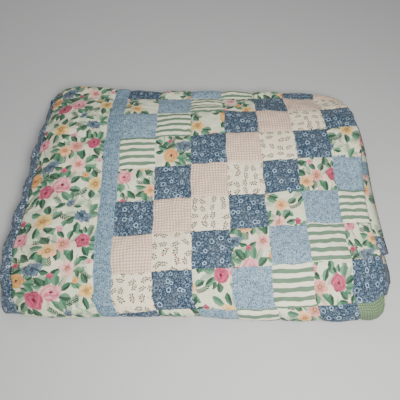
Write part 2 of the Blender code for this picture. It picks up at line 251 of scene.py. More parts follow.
def outlined(x, y):
    """Moves the stack's edges in and out, the way the cloth lies."""
    corner_in = np.where(x < 0, LEFT_CORNER_IN, CORNER_IN)
    x = x - corner_in * ease(np.abs(y), 0.27, 0.335) * np.sign(x) * ease(np.abs(x), 0.36, 0.42)
    x = x + LEFT_IN * ease(-x, 0.35, 0.45) * hump(y, 0.0, 0.1)
    flare = FLARE * (1 - ease(y, -0.2, 0.2)) + BACK_FLARE * ease(y, 0.12, 0.28)
    x = x - flare * ease(-x, 0.3, 0.45)
    front = FRONT_LEFT_IN * ease(-x, -0.1, 0.1) - FRONT_SWELL * ease(x, -0.05, 0.25)
    corners = FRONT_LEFT_CORNER * ease(-x, 0.35, 0.46) + FRONT_RIGHT_CORNER * ease(x, 0.36, 0.45)
    back = BACK_LEFT_SWELL * ease(-x, 0.1, 0.34) - BACK_RIGHT_IN * ease(x, 0.2, 0.36) - BACK_IN
    return x, y + (front + corners) * ease(-y, 0.16, 0.33) + back * ease(y, 0.18, 0.32)


def folded(along, across):
    """The place of each point of the quilt's middle surface, and the stack's scale there."""
    x_flat = plies(along, 0.0)[0]
    travel = across + SKEW * x_flat * (1 - ease(across, *SKEW_FADE))
    y_path, z_path, out_y, out_z, left, right = (np.interp(travel, TRAVEL, PATH[:, i]) for i in range(6))
    x, depth, hang = plies(along, left)
    x = x + (right - left) * ease(x, 0.15, 0.42)
    out = STACK / 2 - depth
    y = y_path + out_y * out
    z = z_path + out_z * out
    upper = 1 - right / LAYER_SHIFT["bottom"][1]
    x = x - RIGHT_IN * upper * ease(x, 0.32, 0.42) * hump(y, RIGHT_IN_Y, RIGHT_IN_REACH)
    scale = stack_scale(x, y)
    hang = np.clip(hang + BACK_HANG * ease(y, 0.12, 0.28), 0, None)
    x, z = hang_down(x, y, z * scale, hang)
    x, y = outlined(x, y)
    x = x + SCALLOP * np.clip(hang / HANG, 0, 1) * np.sin(2 * math.pi * across / SCALLOP_PITCH)
    return np.stack([x - CENTRE_X, y - CENTRE_Y, z], axis=-1), scale


def fold_turns():
    """The stretches of "along" that lie round the two folds."""
    fold = FOLD_X - OUTER_FOLD_RADIUS - LOFT / 2
    start = fold - (HANG_X - HANG)
    end = start + math.pi * OUTER_FOLD_RADIUS
    inner = end + fold - INNER_FOLD_X
    return (start, end), (inner, inner + math.pi * INNER_FOLD_RADIUS)


def seams(length, squares):
    """Where the seams of one direction lie, from one band to the other."""
    first = [BAND, BAND + BORDER]
    middle = [EDGE + PATCH * square for square in range(squares + 1)]
    return first + middle + [length - seam for seam in reversed(first)]


FOLDS = fold_turns()
COLUMN_SEAMS = seams(LENGTH, PATCH_COLUMNS)
ROW_SEAMS = seams(WIDTH, PATCH_ROWS)

# How finely the flat cloth is divided. The wrong side has only the long steps.
STEP = PATCH / 9
HIDDEN_STEP = PATCH / 3
FOLDED_STEP = 0.0035
SHOWN_PARTS = 3  # parts of a step on the right side, where it can be seen
SHOWN_ACROSS = (0.4, 1.25)  # what of "across" can be seen, on the rolls and the top layer


def cut(lines, parts_between):
    """The lines with even steps between them, and where the lines are among the new ones."""
    new, first = [], []
    for start, end in zip(lines, lines[1:]):
        parts = parts_between(start, end)
        first.append(len(new))
        new += [start + (end - start) * part / parts for part in range(parts)]
    return new + [lines[-1]], first + [len(new)]


def divided(edges, step_at):
    """The edges with even steps between them, of about the length that step_at says there."""
    return cut(edges, lambda start, end: max(1, round((end - start) / step_at((start + end) / 2))))[0]


def seen_along(place):
    return place < FOLDS[0][0]


def seen_across(place):
    return SHOWN_ACROSS[0] < place < SHOWN_ACROSS[1]


def along_step(place):
    if any(start < place < end for start, end in FOLDS):
        return FOLDED_STEP
    return STEP if seen_along(place) else HIDDEN_STEP


def across_step(place):
    return STEP if seen_across(place) else HIDDEN_STEP


def finer(lines, seen):
    """The lines with parts between where they are seen, and where the lines are among the new ones."""
    return cut(lines, lambda start, end: SHOWN_PARTS if seen((start + end) / 2) else 1)


# ---- the small relief of the cloth

DITCH = 0.0024  # how deep a quilted seam draws the cloth in
DITCH_REACH = 0.0042  # how far from the seam
PUFF = 0.0021  # how far the middle of a square stands up
PUCKER = 0.0011  # height of the short creases that run off a seam
PUCKER_PITCH = 0.0135
PUCKER_REACH = 0.017
PUCKER_START = 0.002  # how soon they rise from the seam
# The uneven wadding, softer creases and the smallest ones: height, pitch and seed.
RIPPLES = ((0.0016, 0.095, 7), (0.0009, 0.03, 9), (0.00035, 0.0125, 11))
# How seams stray on the flat cloth: how far, over what length, and the seeds of both ways.
WANDER = ((0.0016, 0.065, 31, 41), (0.0007, 0.022, 32, 42))
FADE_ALONG = 0.02  # how soon all relief dies away where the cloth is folded in
FADE_ACROSS = 0.03
CREASE_WANDER = 0.003

# Single creases: middle along and across, turn from "along" in degrees, length, width, depth.
CREASES = (
    (0.14, 0.997, -11.0, 0.2, 0.0052, 0.0062),
    (0.115, 0.905, -6.0, 0.07, 0.005, 0.0012),
    (0.17, 0.655, 12.0, 0.08, 0.006, 0.0014),
    (0.12, 0.56, -4.0, 0.11, 0.006, 0.0016),
    (0.245, 0.8, 90.0, 0.18, 0.004, 0.001),
    (0.52, 1.105, 3.0, 0.2, 0.006, 0.002),
    (0.33, 1.085, -4.0, 0.12, 0.005, 0.0018),
    (0.76, 0.64, 80.0, 0.16, 0.007, 0.0016),
    (0.815, 0.83, 92.0, 0.14, 0.006, 0.0014),
    (0.6, 0.545, 2.0, 0.22, 0.006, 0.0014),
)


def ripples(along, across, pitch, seed, count=14):
    """A smooth random height between about -1 and 1, the same at every run."""
    random = np.random.default_rng(seed)
    height = np.zeros_like(along)
    for _ in range(count):
        turn = random.uniform(0, math.pi)
        wave = 2 * math.pi / (pitch * random.uniform(0.75, 1.35))
        phase = random.uniform(0, 2 * math.pi)
        height += np.sin(wave * (along * math.cos(turn) + across * math.sin(turn)) + phase)
    return height * math.sqrt(2 / count) / 2


def seam_distance(place, lines):
    return np.min(np.abs(place[..., None] - np.array(lines)), axis=-1)


def puckers(to_seam, run, seed):
    """Short creases that start at a seam and die away, with run as the length along the seam."""
    drift = ripples(to_seam * 0.4, run, 0.06, seed) * 0.5
    beat = 0.6 + 0.4 * ripples(to_seam * 0, run, 0.11, seed + 1)
    wave = np.sin(2 * math.pi * (run / PUCKER_PITCH + drift))
    return beat * wave * np.exp(-to_seam / PUCKER_REACH) * (1 - np.exp(-to_seam / PUCKER_START))


def relief(along, across):
    """How far the quilt's face stands above its even thickness."""
    to_column = seam_distance(along, COLUMN_SEAMS)
    to_row = seam_distance(across, ROW_SEAMS)
    nearest = np.minimum(to_column, to_row)
    height = PUFF * np.sin(math.pi / 2 * np.clip(nearest / (PATCH / 2), 0, 1))
    height -= DITCH * np.exp(-nearest / DITCH_REACH)
    height += PUCKER * puckers(to_column, across, 3) + PUCKER * puckers(to_row, along, 5)
    for most, pitch, seed in RIPPLES:
        height += most * ripples(along, across, pitch, seed)
    for middle, cross, turn, length, width, depth in CREASES:
        turn = math.radians(turn)
        right, up = along - middle, across - cross
        run = right * math.cos(turn) + up * math.sin(turn)
        off = up * math.cos(turn) - right * math.sin(turn) + CREASE_WANDER * np.sin(run / length * 7)
        fade = np.clip(1 - (2 * run / length) ** 2, 0, 1)
        height -= depth * fade * (hump(off, 0, width) - 0.5 * hump(off, 2 * width, width))
    return height


def shown(along, across):
    """1 where the right side can be seen, falling to 0 where it is folded away."""
    last = FOLDS[0][1]
    start, end = SHOWN_ACROSS
    from_fold = 1 - ease(along, last - FADE_ALONG, last)
    from_front = ease(across, start, start + FADE_ACROSS)
    return from_fold * from_front * (1 - ease(across, end - FADE_ACROSS, end))


def strayed(along, across):
    """Where sewing and quilting have pulled each point of the cloth to."""
    place = [along, across]
    for reach, pitch, *seeds in WANDER:
        for way, seed in enumerate(seeds):
            moved_by = reach * shown(along, across) * ripples(along, across, pitch, seed)
            place[way] = place[way] + moved_by
    return place


def facing(along, across):
    """The direction in which each point of the quilt's right side faces."""
    near = 0.001
    by_along = folded(along + near, across)[0] - folded(along - near, across)[0]
    by_across = folded(along, across + near)[0] - folded(along, across - near)[0]
    normal = np.cross(by_along, by_across)
    return normal / np.linalg.norm(normal, axis=-1, keepdims=True)


# ---- meshes

SCENE = bpy.context.scene

FABRICS = ("navy", "chintz", "light_blue", "stripe", "chintz", "navy", "pink_gingham", "sprig")
ROW_START = 2  # the row of squares on the front roll
FLOOR_GAP = 0.0004  # how far above the surface the lowest cloth lies
GROUND_REACH = 0.0034  # cloth lower than this lies flat on the surface


def from_edge(along, across):
    """How far a place is from the nearest edge of the flat cloth."""
    return np.minimum.reduce([along, across, LENGTH - along, WIDTH - across])


def fabric_at(along, across):
    """The fabric at a place. Squares run in diagonals, in turn, with every second gingham green."""
    edge = from_edge(along, across)
    if edge < BAND:
        return "band_navy"
    if edge < BAND + BORDER:
        return "border_chintz"
    if edge < EDGE:
        return "sashing"
    diagonal = int((along - EDGE) // PATCH) - int((across - EDGE) // PATCH) + ROW_START
    turn, place = divmod(diagonal, len(FABRICS))
    if FABRICS[place] == "pink_gingham" and turn % 2 == 0:
        return "green_gingham"
    return FABRICS[place]


def cloth_side(lines, loft, height, side):
    """The flat coordinates and the points of the right side, 1, or the wrong side, -1."""
    along, across = np.meshgrid(lines[0], lines[1], indexing="ij")
    place = strayed(along, across)
    middle, scale = folded(*place)
    half = (loft(along, across) * scale / 2)[..., None]
    middle[..., 2:] = np.maximum(middle[..., 2:], half + FLOOR_GAP)
    proud = (height(along, across) * shown(along, across))[..., None] if side > 0 else 0.0
    points = (middle + side * facing(*place) * (half + proud)).reshape(-1, 3)
    points[:, 2] = np.where(points[:, 2] < GROUND_REACH, FLOOR_GAP, points[:, 2])
    return np.stack([along, across], -1).reshape(-1, 2), points


def cloth(name, lines, reach, loft, height, wrong_side):
    """A closed sheet: a fine right side with its relief, a plain wrong side, and the rim between them.

    It is the cloth whose distance from the edge is less than the reach.
    """
    along, first_along = finer(lines[0], seen_along)
    across, first_across = finer(lines[1], seen_across)
    flat, points = cloth_side((along, across), loft, height, 1)
    under_flat, under_points = cloth_side(lines, loft, height, -1)
    centre = [[(a + b) / 2 for a, b in zip(line, line[1:])] for line in lines]
    kept = from_edge(*np.meshgrid(*centre, indexing="ij")) < reach
    padded = np.pad(kept, 1)
    names = sorted(MATERIALS)
    row, under_row = len(across), len(lines[1])
    grid = np.arange(len(points)).reshape(-1, row)
    faces, slots = [], []
    for i, j in np.argwhere(kept).tolist():
        fabric = names.index(fabric_at(centre[0][i], centre[1][j]))
        columns = slice(first_along[i], first_along[i + 1] + 1)
        part = grid[columns, first_across[j] : first_across[j + 1] + 1]
        for start in part[:-1, :-1].ravel().tolist():
            faces.append([start, start + row, start + row + 1, start + 1])
            slots.append(fabric)
        corner = len(points) + i * under_row + j
        loop = [corner, corner + under_row, corner + under_row + 1, corner + 1]
        faces.append(loop[::-1])
        slots.append(names.index(wrong_side))
        sides = part[::-1, 0], part[-1, ::-1], part[:, -1], part[0]  # front, right, back and left
        for turn, (di, dj) in enumerate(((0, -1), (1, 0), (0, 1), (-1, 0))):
            if not padded[i + 1 + di, j + 1 + dj]:
                faces.append([loop[turn], loop[(turn + 1) % 4]] + sides[turn].tolist())
                slots.append(fabric)

    mesh = bpy.data.meshes.new(name)
    mesh.from_pydata(np.concatenate([points, under_points]).tolist(), [], faces)
    flat = np.concatenate([flat, under_flat])
    corners = np.empty(len(mesh.loops), dtype=np.int32)
    mesh.loops.foreach_get("vertex_index", corners)
    layer = mesh.uv_layers.new(name="flat_cloth")
    layer.data.foreach_set("uv", flat[corners].ravel())
    for fabric in names:
        mesh.materials.append(MATERIALS[fabric])
    mesh.polygons.foreach_set("material_index", slots)
    mesh.polygons.foreach_set("use_smooth", [True] * len(faces))
    mesh.validate()
    piece = bpy.data.objects.new(name, mesh)
    SCENE.collection.objects.link(piece)
    return piece


# ---- nodes


class Value:
    """What comes out of a node. Sums of values add nodes to the same tree.

    No node clamps: Cycles puts each clamp after all other nodes, and has no room to keep what waits
    for them.
    """

    def __init__(self, socket):
        self.socket = socket

    def __add__(self, other):
        return maths("ADD", self, other)

    def __sub__(self, other):
        return maths("SUBTRACT", self, other)

    def __rsub__(self, other):
        return maths("SUBTRACT", other, self)

    def __mul__(self, other):
        return maths("MULTIPLY", self, other)

    def __truediv__(self, other):
        return maths("DIVIDE", self, other)

    def __abs__(self):
        return maths("ABSOLUTE", self)


def feed(node, feeds):
    """Links the values among the feeds to a node's sockets, and sets the others there."""
    for socket, value in feeds.items():
        if isinstance(value, Value):
            node.id_data.links.new(value.socket, node.inputs[socket])
        else:
            node.inputs[socket].default_value = value


def add(kind, feeds, output=0, **settings):
    """The output of a new node, in the tree of the values that feed it."""
    tree = next(value.socket.id_data for value in feeds.values() if isinstance(value, Value))
    node = tree.nodes.new(kind)
    for key, value in settings.items():
        setattr(node, key, value)
    feed(node, feeds)
    return Value(node.outputs[output])


def maths(operation, *values):
    return add("ShaderNodeMath", dict(enumerate(values)), operation=operation)


def scaled(value, factor, more=0.0):
    return maths("MULTIPLY_ADD", value, factor, more)


def sine(value):
    return maths("SINE", value)


def greater(one, other):
    return maths("MAXIMUM", one, other)


def held(value, most):
    """The value, kept between 0 and the most."""
    return greater(maths("MINIMUM", value, most), 0.0)


def rise(value, low, high):
    """0 below low, 1 above high, smooth between. With low above high it falls instead."""
    if low > high:
        return 1.0 - rise(value, high, low)
    feeds = {"Value": value, "From Min": low, "From Max": high}
    return add("ShaderNodeMapRange", feeds, interpolation_type="SMOOTHSTEP", clamp=False)


def vector(operation, *values):
    output = "Value" if operation in ("LENGTH", "DISTANCE", "DOT_PRODUCT") else "Vector"
    return add("ShaderNodeVectorMath", dict(enumerate(values)), output, operation=operation)


def moved(place, x, y):
    return vector("ADD", place, (x, y, 0.0))


def turned(place, angle):
    return add("ShaderNodeVectorRotate", {"Vector": place, "Angle": angle}, rotation_type="Z_AXIS")


def distance(away):
    return vector("LENGTH", away)


def split(place):
    """x and y. Separate XYZ would keep z too, and Cycles has room for few values at once."""
    return [vector("DOT_PRODUCT", place, way) for way in ((1.0, 0.0, 0.0), (0.0, 1.0, 0.0))]


def join(x, y):
    return add("ShaderNodeCombineXYZ", {0: x, 1: y})


def polar(away):
    x, y = split(away)
    return distance(away), maths("ARCTAN2", y, x)


def noise(place, pitch, detail, output=0):
    return add("ShaderNodeTexNoise", {"Vector": place, "Scale": 1.0 / pitch, "Detail": detail}, output)


def wavered(place, source, pitch, detail, reach):
    """The place, moved about by a noise of the source."""
    drift = vector("SUBTRACT", noise(source, pitch, detail, "Color"), (0.5, 0.5, 0.5))
    return vector("ADD", place, vector("MULTIPLY", drift, (reach, reach, 0.0)))


def spots(place, scale, randomness=1.0):
    """Scattered spots: the point's offset from the nearest one, and that spot's random colour."""
    feeds = {"Vector": place, "Scale": scale, "Randomness": randomness}
    spot = add("ShaderNodeTexVoronoi", feeds, "Position", voronoi_dimensions="2D")
    return vector("SUBTRACT", place, spot), Value(spot.socket.node.outputs["Color"])


def scattered(place, pitch, randomness=1.0):
    """The offset from the nearest spot, and that spot's two random numbers."""
    away, colour = spots(place, 1.0 / pitch, randomness)
    return away, *split(colour)


def opaque(colour):
    return colour if isinstance(colour, Value) else (*colour, 1.0)


def mix(share, under, over, blend="MIX"):
    feeds = {0: share, 6: opaque(under), 7: opaque(over)}
    return add("ShaderNodeMix", feeds, 2, data_type="RGBA", blend_type=blend)


def toned(colour, tone):
    """The colour, multiplied by a tone or by a number."""
    return mix(1.0, colour, tone, "MULTIPLY")


# ---- the chintz

CREAM = (0.71, 0.745, 0.54)
LEAF = (0.05, 0.145, 0.08)
LEAF_PALE = (0.12, 0.265, 0.155)
LEAF_DARK = (0.022, 0.058, 0.037)
SPRAY = (0.014, 0.044, 0.026)
LEAF_TONES = ((LEAF_DARK, LEAF), (LEAF, LEAF_PALE), (LEAF_DARK, LEAF_PALE))
WASH_GREEN = (0.58, 0.6, 0.42)
WASH_PINK = (0.78, 0.52, 0.4)
GHOST = ((0.34, 0.42, 0.3), WASH_GREEN)
ROSE_HEART = (0.17, 0.012, 0.03)
ROSE = (0.56, 0.11, 0.18)
YELLOW = (0.72, 0.43, 0.13)
STAMEN = (0.26, 0.11, 0.045)
FLORET_PALE = (0.25, 0.32, 0.39)
# A flower's dark and light colour.
DEEP_ROSE = ((0.3, 0.035, 0.085), ROSE)
PINK_ROSE = (ROSE, (0.82, 0.4, 0.42))
OCHRE_ROSE = ((0.64, 0.23, 0.09), YELLOW)
PINK_OPEN = (ROSE, (0.86, 0.53, 0.45))
DUSTY_OPEN = ((0.42, 0.11, 0.12), (0.78, 0.36, 0.29))
PEACH_OPEN = ((0.64, 0.23, 0.09), (0.83, 0.5, 0.25))
YELLOW_OPEN = ((0.48, 0.21, 0.05), (0.8, 0.56, 0.2))
BLUE_HEAD = ((0.036, 0.056, 0.082), (0.105, 0.15, 0.2))

REPEAT = (222.0, 262.0)  # of the print, in millimetres
# The flowers of one repeat: kind, x, y and size in millimetres, turn in degrees, colours, and the
# directions of its own leaves, in degrees.
FLOWERS = (
    ("rose", 134, 62, 22, 20, PINK_ROSE, (25, 75, -22, 125, -70)),
    ("rose", 100, 48, 20, 200, DEEP_ROSE, (160, 212, 265, 108)),
    ("rose", 64, 196, 19, 80, PINK_ROSE, (150, 202, 255, 62, 105)),
    ("rose", 196, 176, 19, 10, DEEP_ROSE, (10, 62, 116, 290, 340)),
    ("rose", 62, 92, 21, 130, OCHRE_ROSE, (80, 130, 255, 350)),
    ("open", 154, 170, 18, 120, DUSTY_OPEN, (250, 110, 300, 60)),
    ("open", 128, 156, 18, 40, PEACH_OPEN, (200, 160, 250, 115)),
    ("open", 166, 116, 19, 30, PINK_OPEN, (345, 200, 75, 30)),
    ("open", 108, 230, 20, 50, YELLOW_OPEN, (30, 80, 132, 250, 300)),
    ("open", 208, 62, 19, 0, YELLOW_OPEN, (100, 150, 330, 262)),
    ("open", 26, 20, 19, 70, PEACH_OPEN, (140, 22, 250, 305)),
    ("open", 16, 238, 18, 40, PINK_OPEN, (40, 312, 172)),
    ("florets", 96, 118, 23, 10, BLUE_HEAD, (300, 60, 190, 120)),
    ("florets", 190, 238, 21, 160, BLUE_HEAD, (45, 250, 200)),
    ("florets", 156, 14, 13, 50, BLUE_HEAD, (330, 200, 90)),
    ("florets", 20, 158, 18, 20, BLUE_HEAD, (230, 20, 300)),
    ("rose", 142, 208, 9, 0, PINK_ROSE, (60, 200)),
    ("rose", 62, 132, 7, 0, DEEP_ROSE, (100, 210)),
    ("rose", 184, 86, 8, 0, OCHRE_ROSE, (70, 300)),
    ("rose", 60, 240, 8, 0, DEEP_ROSE, (330, 190)),
    ("rose", 214, 128, 7, 0, PINK_ROSE, (20, 150)),
    ("rose", 132, 102, 7, 0, DEEP_ROSE, (150, 260)),
)
# Loose sprays: x, y, turn and size of each fern.
FERNS = (
    (62, 128, 40, 15), (128, 138, 100, 14), (176, 40, 15, 15), (34, 206, 75, 15),
    (150, 238, -25, 15), (92, 96, -35, 14), (212, 200, 80, 13), (110, 180, 10, 14),
    (206, 100, -50, 13), (60, 16, 30, 13), (132, 20, 120, 12),
)
# Bent stems that join the sprays: x, y, turn and half length.
STEMS = (
    (64, 58, 20, 22), (150, 84, 65, 22), (72, 172, 110, 20), (172, 204, 40, 22),
    (134, 176, 150, 18), (44, 140, 100, 20), (186, 132, 80, 20), (84, 222, 15, 20),
    (190, 22, 140, 20),
)
BUD_SIZE = 10  # a flower no larger than this is a bud, with nothing behind it
LEAF_LENGTH = (8.5, 0.3)  # its least, and the share of a flower's size that comes on top
LEAF_LEAN = 14  # degrees from the way a leaf stands out
SECOND_LEAF = 26  # degrees from a rose's leaf to the one beside it
GHOST_LEAVES = ((0, 30, 17.0), (-1, -30, 16.0))  # the leaf each is by, how far off, and its length
# Each motif's form: a rose's lobes, an open flower's petals, how flat florets lie, a leaf's width over
# its length, how much a fern bends and how strong a wash is.
FORMS = dict(rose=5.0, open=5.0, florets=0.62, leaf=0.56, stem=0.05, fern=0.25, wash=0.55)

# What a motif's node group is fed.
MOTIF_INPUTS = dict(Place="Vector", Spot="Vector", Turn="Float", Size="Float", Form="Float")
MOTIF_INPUTS.update(Ground="Color", Dark="Color", Light="Color")


def motif_point(place, spot, turn, size):
    """The point seen from a motif's middle, in units of its size, on a print that repeats."""
    half = (REPEAT[0] / 2, REPEAT[1] / 2, 1.0)
    away = vector("WRAP", vector("SUBTRACT", place, spot), half, tuple(-value for value in half))
    away = turned(away, turn)
    scale = maths("DIVIDE", 1.0, size)
    return add("ShaderNodeVectorMath", {0: away, "Scale": scale}, operation="SCALE")


def motif(name, draw):
    """A node group that draws a motif over a ground. draw gives the motif's share and its colour."""
    tree = bpy.data.node_groups.new(name, "ShaderNodeTree")
    for label, kind in MOTIF_INPUTS.items():
        tree.interface.new_socket(name=label, in_out="INPUT", socket_type="NodeSocket" + kind)
    tree.interface.new_socket(name="Colour", in_out="OUTPUT", socket_type="NodeSocketColor")
    entry = tree.nodes.new("NodeGroupInput")
    leave = tree.nodes.new("NodeGroupOutput")
    fed = [Value(entry.outputs[label]) for label in MOTIF_INPUTS]
    place, spot, turn, size, form, ground, *colours = fed
    share, colour = draw(motif_point(place, spot, turn, size), spot, form, *colours)
    feed(leave, {0: mix(share, ground, colour)})
    return tree


def uneven(away, spot, pitch):
    """Noise at a pitch in units of a motif's size. No two motifs have the same."""
    return noise(vector("ADD", away, spot), pitch, 1.0)


def draw_leaf(away, spot, width, dark, light):
    """A leaf with a bent midrib, darker on one side of it. A very narrow one is a stem."""
    x, y = split(away)
    square = x * x
    bow = scaled(square, 0.16, y)
    off = abs(bow)
    inside = rise(1.0 - (square + off / width), 0.0, 0.14)
    slant = scaled(off, -16.0, x * 13.0)
    ribs = scaled(sine(slant), 0.16)
    side = rise(bow, -0.08, 0.12) + ribs
    vein = rise(off, 0.055, 0.01) * 0.55
    return inside, mix(vein, mix(side, dark, light), LEAF_PALE)


def draw_rose(away, spot, lobes, dark, light):
    """Petals wound round a dark heart, each shaded where it goes under the next."""
    radius, angle = polar(away)
    rim = scaled(sine(angle * lobes), 0.06, 0.93)
    inside = rise(rim - radius, 0.0, 0.07)
    bent = sine(scaled(angle, 3.0, 1.0)) * 0.22
    wound = radius * 2.0 - angle / (2 * math.pi)
    petal = maths("FRACT", wound + bent)
    lit = vector("DOT_PRODUCT", away, (0.15, 0.3, 0.0)) - 0.8
    washed = scaled(uneven(away, spot, 0.45), 1.75, lit)
    share = maths("POWER", petal, 0.8) * 0.85 + washed
    body = mix(held(share, 1.1), dark, light)
    under = rise(petal, 0.16, 0.0) * 0.55
    return inside, mix(greater(under, rise(radius, 0.24, 0.1)), body, ROSE_HEART)


def draw_open_flower(away, spot, petals, dark, light):
    """Round petals with a drawn rim and streaks, and a ring of stamens."""
    radius, angle = polar(away)
    petal = abs(maths("COSINE", angle * (petals * 0.5)))
    rim = scaled(maths("POWER", petal, 0.55), 0.38, 0.6)
    room = rim - radius
    washed = scaled(uneven(away, spot, 0.45), 1.3, -0.75)
    share = scaled(radius, 1.3, scaled(petal, 0.25, washed))
    body = mix(held(share, 1.0), dark, light)
    streak = rise(sine(angle * 23.0), 0.55, 0.95) * rise(radius, 0.75, 0.4)
    edge = greater(rise(room, 0.13, 0.03), rise(petal, 0.26, 0.04))
    body = mix(greater(edge, streak) * 0.65, body, dark)
    stamens = scaled(sine(angle * 9.0), 0.05, radius)
    body = mix(rise(stamens, 0.28, 0.2), body, STAMEN)
    body = mix(rise(radius, 0.14, 0.08), body, YELLOW)
    return rise(room, 0.0, 0.07), body


def draw_florets(away, spot, flat, dark, light):
    """A flattened head of small four-petalled florets, some paler than others."""
    x, y = split(away)
    reach = distance(join(x, y / flat))
    radius, angle = polar(spots(away, 2.2)[0])
    petal = abs(maths("COSINE", angle * 2.0))
    share = rise(scaled(petal, 0.12, 0.17) - radius, -0.04, 0.1)
    body = mix(share, dark, light)
    blot = uneven(away, spot, 0.35)
    pale = share * rise(blot, 0.5, 0.62)
    body = mix(pale * 0.6, body, FLORET_PALE)
    ragged = blot - 0.5 + (1.0 - reach)
    ragged = scaled(0.2 - radius, 0.9, ragged)
    return rise(ragged, 0.0, 0.12), body


def draw_fern(away, spot, bend, dark, light):
    """A thin bent stem with a row of small leaflets on each side, in turn."""
    x, y = split(away)
    bent = y - x * x * bend
    off = abs(bent)
    reach = abs(x)
    slant = x * 3.6 - off * 3.2 + rise(bent, -0.01, 0.01) * 0.5
    beat = maths("FRACT", slant) - 0.5
    leaflet = rise(distance(join(beat, (off - 0.2) * 2.6)), 0.47, 0.36)
    shape = greater(rise(off, 0.06, 0.035), leaflet)
    return rise(reach, 1.0, 0.92) * shape, mix(rise(bent, -0.1, 0.1), dark, light)


def draw_wash(away, spot, strength, dark, light):
    """A soft patch of thin colour behind a flower."""
    return rise(distance(away), 1.0, 0.25) * strength, light


DRAWINGS = dict(wash=draw_wash, rose=draw_rose, open=draw_open_flower, florets=draw_florets)
DRAWINGS.update(leaf=draw_leaf, fern=draw_fern)
MOTIFS = {kind: motif(kind, draw) for kind, draw in DRAWINGS.items()}
MOTIFS["stem"] = MOTIFS["leaf"]


def chintz_colour(place):
    """Roses, open flowers, heads of blue florets, leaves and sprays on cream.

    The first motif's ground is one colour, and the uneven tints come last: a ground that varies
    waits for all the motifs, and Cycles has no room for it.
    """
    place = wavered(place, place, 7.0, 2.0, 4.5)
    drawn = CREAM

    def put(kind, x, y, size, turn, colours):
        """Draws one motif over what is drawn so far."""
        nonlocal drawn
        values = [place, (x, y, 0.0), -math.radians(turn), size, FORMS[kind]]
        values += [opaque(colour) for colour in (drawn, *colours)]
        drawn = add("ShaderNodeGroup", dict(zip(MOTIF_INPUTS, values)), node_tree=MOTIFS[kind])

    def put_leaf(x, y, direction, reach, length, colours):
        """A leaf that stands out from a flower's middle."""
        x += reach * math.cos(math.radians(direction))
        y += reach * math.sin(math.radians(direction))
        put("leaf", x, y, length, direction + LEAF_LEAN, colours)

    for kind, x, y, size, _, _, leaves in FLOWERS:
        if size > BUD_SIZE:
            tint = WASH_GREEN if kind == "florets" else WASH_PINK
            put("wash", x, y, 2.0 * size, 0, (tint, tint))
            for by, off, length in GHOST_LEAVES:
                put_leaf(x, y, leaves[by] + off, 1.55 * size, length, GHOST)
    for x, y, turn, half in STEMS:
        put("stem", x, y, half, turn, (LEAF_DARK, LEAF))
    for x, y, turn, size in FERNS:
        put("fern", x, y, 1.2 * size, turn, (SPRAY, LEAF))
    for number, (kind, x, y, size, _, _, leaves) in enumerate(FLOWERS):
        length = LEAF_LENGTH[0] + LEAF_LENGTH[1] * size
        for count, direction in enumerate(leaves, number):
            tone = LEAF_TONES[count % len(LEAF_TONES)]
            put_leaf(x, y, direction, 0.8 * size + 0.85 * length, length, tone)
            if kind == "rose" and size > BUD_SIZE and (count - number) % 2:
                tone = LEAF_TONES[(count + 1) % len(LEAF_TONES)]
                reach = 0.85 * size + 0.8 * length
                put_leaf(x, y, direction + SECOND_LEAF, reach, 0.7 * length, tone)
    for kind, x, y, size, turn, colours, _ in FLOWERS:
        put(kind, x, y, size, turn, colours)

    blush = rise(noise(place, 34.0, 1.0), 0.48, 0.66)
    mint = rise(noise(moved(place, 370.0, 90.0), 28.0, 1.0), 0.48, 0.66)
    tint = mix(blush, NO_TONE, (1.0, 0.92, 0.9))
    tint = toned(tint, mix(mint, NO_TONE, (0.86, 0.98, 0.9)))
    shade = scaled(noise(place, 5.0, 3.0), 0.5, 0.75)
    return toned(drawn, toned(tint, shade))


# ---- the other prints, with lengths in millimetres

NAVY = (0.019, 0.037, 0.061)
NAVY_PALE = (0.088, 0.138, 0.188)
RING_BLUE = (0.34, 0.46, 0.57)
# The navy's scatters: pitch, radius and thickness of the rings, and how strongly they show.
NAVY_RINGS = ((3.6, 0.55, 0.5, 0.42), (8.5, 1.6, 0.62, 0.62), (26.0, 4.2, 1.45, 1.0))
LIGHT_BLUE = (0.235, 0.335, 0.405)
LIGHT_BLUE_LOW = (0.165, 0.25, 0.315)
LIGHT_BLUE_FLECK = (0.022, 0.045, 0.075)
PALE_BLUE = (0.4, 0.53, 0.62)
GREEN = (0.122, 0.205, 0.13)
GREEN_DARK = (0.08, 0.142, 0.086)
STRIPE_CREAM = (0.775, 0.755, 0.56)
STRIPE_PITCH = 18.6
# The ginghams: pitch, ground and dye.
PINK_CHECK = (6.8, (0.82, 0.655, 0.5), (0.46, 0.29, 0.205))
GREEN_CHECK = (5.2, (0.175, 0.25, 0.14), (0.068, 0.112, 0.058))
CREAM_PLAIN = (0.84, 0.735, 0.53)
SPRIG = (0.013, 0.011, 0.007)
SPRIG_RED = (0.45, 0.09, 0.1)
SPRIG_PITCH = 22.5
SPRIG_LEAF = (2.45, 1.35)  # half length and half width of its leaves
# A sprig's leaves: place of each middle, and its turn in degrees.
SPRIG_LEAVES = (
    (-7.0, 2.0, 20), (-4.6, -2.8, -70), (-2.0, 3.4, 66), (0.8, -3.2, -44), (2.3, 4.6, 50),
    (5.2, -2.0, -20), (7.0, 3.6, 20),
)
BACKING = ((0.66, 0.63, 0.56), (0.72, 0.69, 0.62))


